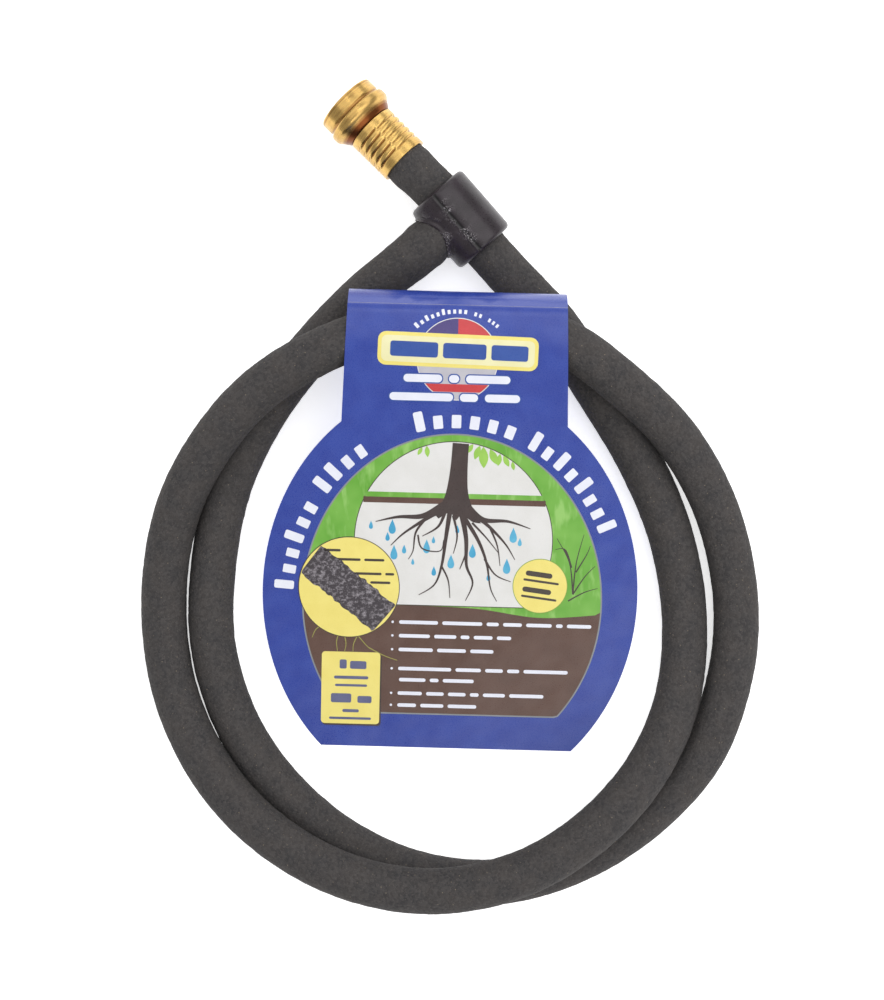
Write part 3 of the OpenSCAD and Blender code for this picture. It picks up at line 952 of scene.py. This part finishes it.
def printed(name, layer, shapes, material, grid=GRID):
    """One ink layer: the union of its shapes as a thin closed film that follows the card."""
    outlines = [refined(shape, grid) for shape in shapes]
    everything = np.vstack(outlines)
    low, high = everything.min(0), everything.max(0)
    inner = [
        Vector((u, v))
        for u in np.arange(math.floor(low[0]), high[0], grid)
        for v in np.arange(math.floor(low[1]), high[1], grid)
    ]
    loops, start = [], 0
    for outline in outlines:
        loops.append(list(range(start, start + len(outline))))
        start += len(outline)
    flat = [Vector(p) for p in everything] + inner
    # Output type 1 keeps the triangles that lie inside any of the loops
    verts, _, triangles, *_ = delaunay_2d_cdt(flat, [], loops, 1, 0.001)
    used = sorted({i for triangle in triangles for i in triangle})
    renumber = {old: new for new, old in enumerate(used)}
    triangles = [[renumber[i] for i in triangle] for triangle in triangles]
    u, v = (MM * np.array([verts[i][axis] for i in used]) for axis in (0, 1))
    count = len(used)
    faces = [t[::-1] for t in triangles] + [[i + count for i in t] for t in triangles]
    directed = {(t[k], t[(k + 1) % 3]) for t in triangles for k in range(3)}
    faces += [[a, b, b + count, a + count] for a, b in sorted(directed) if (b, a) not in directed]
    points = np.vstack([front_point(u, v, layer * INK_T), front_point(u, v, -INK_SINK)])
    piece = mesh_piece("print_" + name, points, faces, [material], card_place)
    crease_by_angle(piece, 40)
    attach(piece, "card_front")


def quarter(u, v, radius, number):
    """A quarter of a disc. Numbers 2 and 3 are the upper left and the upper right."""
    rim = disc(u, v, radius, start=number * TAU / 4, stop=(number + 1) * TAU / 4, steps=32)
    return np.vstack([rim, [(u, v)]])


def half_disc(u, v, radius):
    """The lower half of a disc."""
    return disc(u, v, radius, start=0, stop=TAU / 2, steps=60)


def disc_band(u, v, radius, top, foot):
    """The part of a disc between two levels."""
    outline = disc(u, v, radius)
    outline[:, 1] = np.clip(outline[:, 1], top, foot)
    inside = [p for p in outline if top < p[1] < foot]
    reach_top = math.sqrt(radius**2 - (top - v) ** 2)
    reach_foot = math.sqrt(radius**2 - (foot - v) ** 2)
    corners = [(u + reach_top, top), (u + reach_foot, foot), (u - reach_foot, foot), (u - reach_top, top)]
    both = np.array(inside + corners)
    middle = np.array((u, (top + foot) / 2))
    return both[np.argsort(np.arctan2(both[:, 1] - middle[1], both[:, 0] - middle[0]))]


def grown(outline, margin):
    """An outline scaled about its middle so that it stands out by a margin."""
    middle = (outline.max(0) + outline.min(0)) / 2
    half = (outline.max(0) - outline.min(0)) / 2
    return middle + (outline - middle) * (half + margin) / half


def text_row(u, v, words, height, gap):
    """Plain bars that stand for a row of words, given the words' lengths."""
    return [bar(u + sum(words[:k]) + gap * k + w / 2, v, w, height) for k, w in enumerate(words)]


def arc_blocks(oval, start, stop, heights):
    """Plain rounded blocks that stand on an oval, from one bearing in degrees to another."""
    u, v, radius_u, radius_v = oval
    blocks = []
    pitch = math.radians(stop - start) / len(heights)
    for k, height in enumerate(heights):
        bearing = math.radians(start) + pitch * (k + 0.5)
        cos, sin = math.cos(bearing), math.sin(bearing)
        reach = 1 / math.hypot(cos / radius_u, sin / radius_v)
        foot = np.array((u + reach * cos, v - reach * sin))
        outward = unit(np.array((cos / radius_u**2, -sin / radius_v**2)))
        across = np.array((-outward[1], outward[0]))
        width = BLOCK_SHARE * abs(pitch) * reach
        block = bar(0, height / 2, width, height, rounding=0.09 * height)
        blocks.append(foot + np.outer(block[:, 0], across) + np.outer(block[:, 1], outward))
    return blocks


PANEL_U = 1.0
PANEL_V = 127.0
PANEL_RU = 66.6
PANEL_RV = 74.5
PANEL_FOOT = 178.0
CIRCLE = (0.9, 99.5, 44.0)
BADGE = (0.5, 19.3)
BLOCK_SHARE = 0.54
# The ovals that the title's blocks and the small row over the badge stand on
TITLE_OVAL = (PANEL_U, PANEL_V, 71.2, 77.6)
BADGE_OVAL = (*BADGE, 23.5, 19.8)


def panel_shape(grow):
    """The inner oval with its flat foot."""
    foot = PANEL_FOOT + grow
    outline = disc(PANEL_U, PANEL_V, PANEL_RU + grow, PANEL_RV + grow, steps=160)
    outline[:, 1] = np.minimum(outline[:, 1], foot)
    at_foot = outline[:, 1] == foot
    return outline[~(at_foot & np.roll(at_foot, 1) & np.roll(at_foot, -1))]


def cut_circle(grow):
    """The white disc with its flat foot."""
    u, v, r = CIRCLE
    foot = 128.5 + grow
    outline = disc(u, v, r + grow, steps=144)
    outline[:, 1] = np.minimum(outline[:, 1], foot)
    return outline


def drop_shape(u, v, size):
    """A water drop with its tip upwards."""
    turn = np.linspace(0, TAU, 28, endpoint=False)
    wide = 0.5 * size * np.sin(turn) * np.sin(turn / 2) ** 1.6
    return np.stack([u + wide, v + 0.8 * size * -np.cos(turn) * 0.9], axis=1)


def leaf_shape(u, v, length, turn):
    """A plain pointed leaf that hangs from its stalk."""
    t = np.linspace(0, 1, 9)
    half = 0.22 * length * np.sin(np.pi * t) ** 0.9
    side = np.stack([half, length * t], axis=1)
    other = np.stack([-half[1:-1], length * t[1:-1]], axis=1)[::-1]
    return turned(np.vstack([side, other]), u, v, turn)


def print_badge(inks):
    """The disc behind the maker's strip, the strip itself, and two rows under it."""
    rows = text_row(-23, 27.9, (17, 4.5, 19.5), 3.4, 3.0) + text_row(-29, 36.0, (28, 8, 15.5), 3.4, 3.0)
    bars = ((-18.6, 15.4, 21), (3.6, 15.85, 19), (23.4, 16.25, 16.2))
    radius, tilt = 17.6, 0.02
    for name, layer, shapes, colour in (
        ("badge_edge", 1, [disc(*BADGE, 18.0)], "pale"),
        ("badge_upper", 2, [quarter(*BADGE, radius, 2)], "violet"),
        ("badge_side", 2, [quarter(*BADGE, radius, 3)], "red"),
        ("badge_lower", 2, [half_disc(*BADGE, radius)], "silver"),
        ("badge_band", 3, [disc_band(*BADGE, radius, 30.2, 33.6)], "red"),
        ("strip", 3, [bar(0.65, 15.8, 70.5, 14.6, tilt, 3.6)], "yellow"),
        ("strip_centre", 4, [bar(0.65, 15.8, 67.3, 11.4, tilt, 2.4)], "cream"),
        ("strip_bars", 5, [bar(u, v, width, 6.6, tilt, 1.2) for u, v, width in bars], "blue"),
        ("rows_shadow", 4, [grown(row, 0.5) for row in rows], "blue"),
        ("rows", 5, rows, "white"),
    ):
        printed(name, layer, shapes, inks[colour], grid=FINE_GRID)


def print_titles(inks):
    """Blocks of two heights that stand for the titles' letters."""
    low, tall = 5.8, 8.8
    small, large = 1.8, 2.6
    titles = []
    for oval, start, stop, heights in (
        (TITLE_OVAL, 178, 144.5, (tall, low, low, tall, low, low)),
        (TITLE_OVAL, 141.5, 119.5, (tall, tall, low, low)),
        (TITLE_OVAL, 104.5, 70, (tall, low, low, low, low, low)),
        (TITLE_OVAL, 67, 25.5, (tall, low, tall, low, tall, low, low, tall)),
        (BADGE_OVAL, 146, 78, (large, small, large, small, small, large, small, small, small, small)),
        (BADGE_OVAL, 72, 60, (1.7, 1.7)),
        (BADGE_OVAL, 54, 38, (1.7, 1.7, 1.7)),
    ):
        titles += arc_blocks(oval, start, stop, heights)
    printed("title_blocks", 3, titles, inks["white"], grid=FINE_GRID)


def circle_top(u):
    """The level of the white disc's rim above a place."""
    return CIRCLE[1] - math.sqrt(CIRCLE[2] ** 2 - (u - CIRCLE[0]) ** 2)


def print_card(inks):
    """All the printed shapes."""
    printed("panel_outline", 1, [panel_shape(0.7)], inks["grey"])
    printed("panel_green", 2, [panel_shape(0)], inks["green"])
    ground = panel_shape(0)
    ground = ground[ground[:, 1] > 129.5]
    ridge = smooth_line([(-66, 131), (-30, 129), (10, 129.5), (40, 133), (67.5, 131)])
    printed("panel_soil", 3, [soil_shape(ground, ridge)], inks["brown"])
    print_badge(inks)
    print_titles(inks)
    printed("circle_outline", 3, [cut_circle(0.35)], inks["dark"])
    printed("circle", 4, [cut_circle(0)], inks["pale"])
    strip_u, strip_width = CIRCLE[0], 80.4
    printed("grass", 5, [bar(strip_u, 79.3, strip_width - 1.0, 2.2, 0.0, 0.2)], inks["green"])
    printed("soil_line", 5, [bar(strip_u, 81.7, strip_width + 0.6, 2.6, 0.0, 0.2)], inks["brown"])
    printed("tree", 6, tree_shapes(), inks["bark"], grid=2.0)
    leaves = ((8.5, 5, 0.6), (11.5, 6.5, 0.35), (13, 9.5, -0.05), (16, 7.5, -0.45), (20.5, 5.5, 0.15),
              (22, 5.5, -0.5), (26, 4, -0.2), (-12, 5, -0.1), (-14, 4, 0.5))
    printed("leaves", 5, [leaf_shape(u, circle_top(u), size, turn) for u, size, turn in leaves], inks["leaf"])
    drops = ((-26.5, 93.5, 4.6), (-36, 93, 2.6), (-28.5, 98, 2.8), (-25.5, 105, 4.6), (-21, 103.5, 2.8),
             (-11, 102, 4.4), (-8, 99, 2.2), (0, 108.5, 4.4), (9.5, 103.5, 4.4), (2.5, 94, 2.6),
             (27.5, 96, 4.8), (30.5, 99, 2.6), (25, 110, 4.8), (17, 115, 2.6), (-7.5, 113, 3), (-17, 109, 2))
    printed("drops", 5, [drop_shape(*drop) for drop in drops], inks["sky"])
    print_hose_picture(inks)
    print_notes(inks)
    stems = ([(55, 122), (53, 108), (47, 97)], [(55, 122), (56, 108), (59, 95)],
             [(54, 110), (51, 102), (46.5, 102)], [(55, 122), (60, 114), (64.5, 109)],
             [(53, 125), (60, 121), (66, 119)], [(56, 112), (60.5, 104), (62, 100)])
    printed("stems", 3, [stroke(points, 0.7, 0.25) for points in stems], inks["dark"])


def smooth_line(points):
    """A smooth line of points through a few places."""
    return spline_points(np.array(points, float), 8)


def soil_shape(ground, ridge):
    """The lower part of the inner oval, under a rolling ridge line."""
    order = ground[np.argsort(np.arctan2(ground[:, 1] - PANEL_V, ground[:, 0] - PANEL_U))]
    inside = ridge[(ridge[:, 0] > order[-1][0] + 0.5) & (ridge[:, 0] < order[0][0] - 0.5)]
    return np.vstack([order, inside])


def tree_shapes():
    """A plain trunk with a flared foot and roots that fork and thin out."""
    trunk = np.vstack([
        smooth_line([(-0.6, 55.8), (-1.2, 66), (-2.6, 76), (-4.6, 82), (-8.5, 87.0)]),
        smooth_line([(-6, 89.5), (-1, 86.6), (1.5, 90), (4.5, 87.5), (9, 90.5), (13.0, 91.2)]),
        smooth_line([(10.5, 87.5), (8.0, 82), (6.6, 76), (6.3, 66), (6.6, 56.2)]),
    ])
    roots = [
        ([(-4, 83.5), (-13, 88.5), (-24, 89.2), (-34, 91.5)], 3.2),
        ([(-7, 87), (-15, 92), (-22, 97), (-27, 102)], 1.9),
        ([(-12, 90), (-16, 96), (-17, 104), (-19, 108)], 1.2),
        ([(-3, 86), (-6, 93), (-13, 97.5)], 1.6),
        ([(-15, 97), (-13, 103), (-5, 104), (-3.5, 99)], 0.8),
        ([(-1, 86), (-2.5, 98), (-4, 110), (-7, 119), (-14, 124)], 2.2),
        ([(-4, 111), (-1, 117), (0, 125)], 0.9),
        ([(0.5, 88), (2.5, 97), (1, 105)], 1.2),
        ([(4, 86), (6.5, 98), (7, 110), (10, 118), (7, 126)], 2.6),
        ([(7, 104), (4, 112)], 1.0),
        ([(5, 88), (12, 99), (16, 109), (18, 120), (21, 126)], 2.0),
        ([(15, 107), (20, 114), (27, 117)], 1.0),
        ([(8, 86.5), (16, 92), (24, 100), (28.5, 107)], 2.0),
        ([(17, 93), (20.5, 101), (22, 110)], 1.0),
        ([(7, 84), (14, 89.5), (25, 90), (35, 93)], 2.8),
        ([(9, 91), (15, 97), (21, 104)], 1.0),
    ]
    return [trunk] + [stroke(points, width, 0.3) for points, width in roots]


def print_hose_picture(inks):
    """The yellow disc with a small picture of a hose and a few rows of bars."""
    u, v, r = -45.3, 121.3, 22.4
    printed("disc_outline", 5, [disc(u, v, r + 0.35)], inks["dark"])
    printed("disc", 6, [disc(u, v, r)], inks["yellow"])
    printed("disc_hose", 7, [hose_band(u, v, r - 0.2)], inks["speckled"])
    rows = []
    for du, dv, words in ((-12, -16.5, (8,)), (-6, -12.5, (11, 9)), (2.5, -6.3, (12, 4)), (9.5, -2.4, (9,))):
        rows += text_row(u + du, v + dv, words, 1.1, 1.6)
    printed("disc_rows", 7, rows, inks["dark"])


def hose_band(u, v, r):
    """A broad band across the disc, with a rough edge, clipped to the disc."""
    t = np.linspace(-1.1, 1.1, 56)
    angle = math.radians(38)
    ahead = np.array((math.cos(angle), math.sin(angle)))
    across = np.array((-ahead[1], ahead[0]))
    rough = np.array([noise.noise(Vector((9 * k, 0.3, 0))) for k in t])
    upper = np.outer(r * t, ahead) + np.outer(-7.0 + 1.0 * rough, across)
    lower = np.outer(r * t, ahead) + np.outer(8.6 + 1.0 * rough[::-1], across)
    outline = np.vstack([upper, lower[::-1]])
    reach = np.linalg.norm(outline, axis=1)
    outline *= np.minimum(1, r / reach)[:, None]
    return outline + (u, v)


def print_notes(inks):
    """The small yellow disc, the yellow label and the list of rows beside it."""
    printed("note_outline", 5, [disc(40.2, 118.6, 12.3)], inks["green_deep"])
    printed("note_disc", 6, [disc(40.2, 118.6, 12.0)], inks["yellow"])
    rows = [bar(39.6, 113.4, 12, 2.3, 0.12), bar(40.6, 116.6, 16, 1.0, 0.12),
            bar(38.8, 120.7, 13, 2.3, 0.12), bar(39.8, 124.0, 16, 1.0, 0.12)]
    printed("note_rows", 7, rows, inks["dark"])
    printed("label_shade", 4, [bar(-43.2, 167.9, 26.6, 33.2, 0.0, 1.6)], inks["bark"])
    printed("label", 5, [bar(-43.8, 167.2, 26.4, 33, 0.0, 1.6)], inks["yellow"])
    rows = [bar(-47.3, 156.3, 3.2, 4.2, 0.0, 0.8), bar(-40.5, 156.6, 7.4, 3.6, 0.0, 0.8),
            bar(-43.6, 162.4, 15.5, 1.4), bar(-43.6, 166, 14.5, 1.1),
            bar(-48.0, 171.9, 9.2, 4.2, 0.0, 0.8), bar(-37.4, 172.4, 6.4, 3.2, 0.0, 0.8),
            bar(-43.6, 177.7, 7.5, 1.4), bar(-43.8, 181.2, 19, 1.1)]
    printed("label_rows", 6, rows, inks["slate"])
    blades = [stroke(points, 0.45, 0.3) for points in (
        [(-49.5, 142.5), (-50.5, 146), (-50, 150.5)], [(-47, 143), (-46.2, 147), (-46.8, 150.5)],
        [(-41, 143), (-42.8, 147), (-43, 150.5)], [(-41, 143), (-38, 146.5), (-36, 148.5)],
        [(-36, 148.5), (-29, 152), (-23, 154)], [(-57, 138.5), (-60, 141), (-61.5, 144.5)])]
    printed("blades", 4, blades, inks["olive"])
    rows = []
    for u, v, words in (
        (-22.5, 136.5, (17.5, 18, 5.5, 8.5, 11.5, 3, 11)), (-22.5, 142.7, (14, 10, 4, 8.5, 6.5)),
        (-22.5, 149.0, (15.5, 13, 10.5)), (-22.5, 157.7, (24, 11.5, 8, 5.5, 20)),
        (-22.0, 162.8, (12, 4, 14)), (-22.5, 169.0, (11, 8, 8, 4, 10, 15.5)),
        (-22.5, 174.5, (8.5, 10.5, 13)),
    ):
        rows += text_row(u, v, words, 1.6, 1.9)
        if u == -22.5:
            rows.append(disc(-25.4, v, 0.55, steps=16))
    printed("list_rows", 4, rows, inks["white"])


# ---- Stage

WORLD_LIGHT = 0.52
FLOOR_HALF = 60.0
FLOOR_GAP = 0.1 * MM


def softbox(name, place, width, height, power, aim=(0, 0, 0.02)):
    """A large rectangular light that the camera doesn't see."""
    light = bpy.data.lights.new(name, "AREA")
    light.shape = "RECTANGLE"
    light.size = width
    light.size_y = height
    light.energy = power
    holder = bpy.data.objects.new(name, light)
    holder.location = place
    holder.rotation_euler = (Vector(aim) - Vector(place)).to_track_quat("-Z", "Y").to_euler()
    holder.visible_camera = False
    bpy.context.scene.collection.objects.link(holder)


def add_stage():
    """A wide floor just under the object, even light all round, and four soft boxes."""
    level = cad_box[0][2] - FLOOR_GAP
    corners = [(x * FLOOR_HALF, y * FLOOR_HALF, level) for x, y in ((-1, -1), (1, -1), (1, 1), (-1, 1))]
    floor = mesh_piece("floor", corners, [[0, 1, 2, 3]], [floor_white()])
    world = bpy.data.worlds.new("studio")
    world.use_nodes = True
    background = world.node_tree.nodes["Background"]
    background.inputs["Color"].default_value = (1, 1, 1, 1)
    background.inputs["Strength"].default_value = WORLD_LIGHT
    bpy.context.scene.world = world
    softbox("right_box", (0.7, 0.38, 1.3), 1.2, 1.5, 9.5, aim=(0.45, 0.25, 0))
    softbox("left_box", (-0.75, 0.4, 1.3), 1.2, 1.4, 4.5, aim=(-0.5, 0.25, 0))
    softbox("front_box", (0.60, -0.98, 1.15), 1.5, 0.95, 8)
    softbox("rear_box", (0, 1.3, 0.8), 1.8, 0.8, 6)
    bpy.context.scene.view_settings.view_transform = "Standard"


# ---- Making

def make_hoses(rubber):
    ring, centres = hose_piece("hose_skin", RING_ROUTE, ring_swell, 1.0, rubber)
    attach(ring, "ring")
    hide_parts("ring_hose")
    inlet, _ = hose_piece("inlet_skin", INLET_ROUTE, inlet_swell, 4.0, rubber)
    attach(inlet, "ring")
    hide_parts("inlet_hose")


UMBER = rgb(116, 66, 34)


def make_fittings():
    bright = brass("brass_satin", rgb(212, 175, 104), UMBER)
    nut = swivel_nut(bright)
    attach(nut, "nut")
    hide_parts("swivel_nut")
    crimped = ferrule(bright)
    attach(crimped, "ring")
    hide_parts("ferrule")
    sleeve = tee_sleeve(tee_plastic())
    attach(sleeve, "ring")
    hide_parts("tee_cover")


def finish_cad_nodes():
    finishes = {
        "tee_core": moulded(
            "core_plastic", rgb(70, 70, 74), rgb(92, 92, 96), specular=0.4,
            grain=0.7 * MM, roughness=(0.4, 0.6), depth=0.02 * MM,
        ),
        "tail_piece": brass("brass_plain", rgb(226, 190, 118), UMBER),
        "hose_washer": washer_rubber(),
        "flow_restrictor": moulded(
            "restrictor_plastic", rgb(40, 105, 68), rgb(58, 130, 84), specular=0.5,
            grain=0.6 * MM, roughness=(0.35, 0.5), depth=0.015 * MM,
        ),
    }
    for name, material in finishes.items():
        node = frame["nodes"][name]
        node.data.materials.clear()
        node.data.materials.append(material)


INK_COLOURS = {
    "white": ((224, 226, 236), (218, 220, 232)),
    "pale": ((217, 216, 214), (212, 211, 208)),
    "grey": ((132, 136, 140), (126, 130, 132)),
    "leaf": ((150, 196, 84), (138, 184, 72)),
    "olive": ((150, 146, 74), (140, 136, 66)),
    "slate": ((84, 88, 124), (92, 96, 130)),
    "green_deep": ((120, 150, 60), (130, 160, 70)),
    "brown": ((84, 59, 49), (90, 65, 55)),
    "bark": ((56, 45, 43), (64, 51, 49)),
    "dark": ((58, 50, 44), (66, 58, 50)),
    "yellow": ((230, 215, 120), (226, 210, 113)),
    "silver": ((186, 184, 190), (178, 176, 184)),
    "cream": ((228, 224, 178), (224, 219, 168)),
    "blue": ((42, 74, 148), (48, 80, 154)),
    "sky": ((56, 150, 190), (90, 172, 204)),
    "violet": ((68, 56, 114), (74, 62, 120)),
    "red": ((194, 58, 62), (186, 54, 58)),
}


def make_card():
    # The paler blue over the fold is a painted sheen
    print_ink = ink("card_blue", rgb(38, 59, 145), rgb(45, 67, 152), gloss=0.28, painted_fold_sheen=rgb(80, 92, 162))
    plain = board()
    front_turns = np.linspace(CREASE, TAU / 4, 7)
    front = card_panel("card_front", front_turns, 1, FRONT_SLOPE, print_ink, plain)
    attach(front, "card_front")
    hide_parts("card_front_panel")
    back_turns = np.linspace(CREASE - CREASE_GAP, -TAU / 4, 36)
    back = card_panel("card_back", back_turns, -1, BACK_SLOPE, print_ink, plain)
    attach(back, "ring")
    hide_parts("card_back_panel")
    inks = {name: ink("ink_" + name, rgb(*main), rgb(*other)) for name, (main, other) in INK_COLOURS.items()}
    print_card({**inks, "green": grass_ink(), "speckled": speckled_ink()})


add_camera()
make_hoses(crumb_rubber())
make_fittings()
finish_cad_nodes()
make_card()
add_stage()
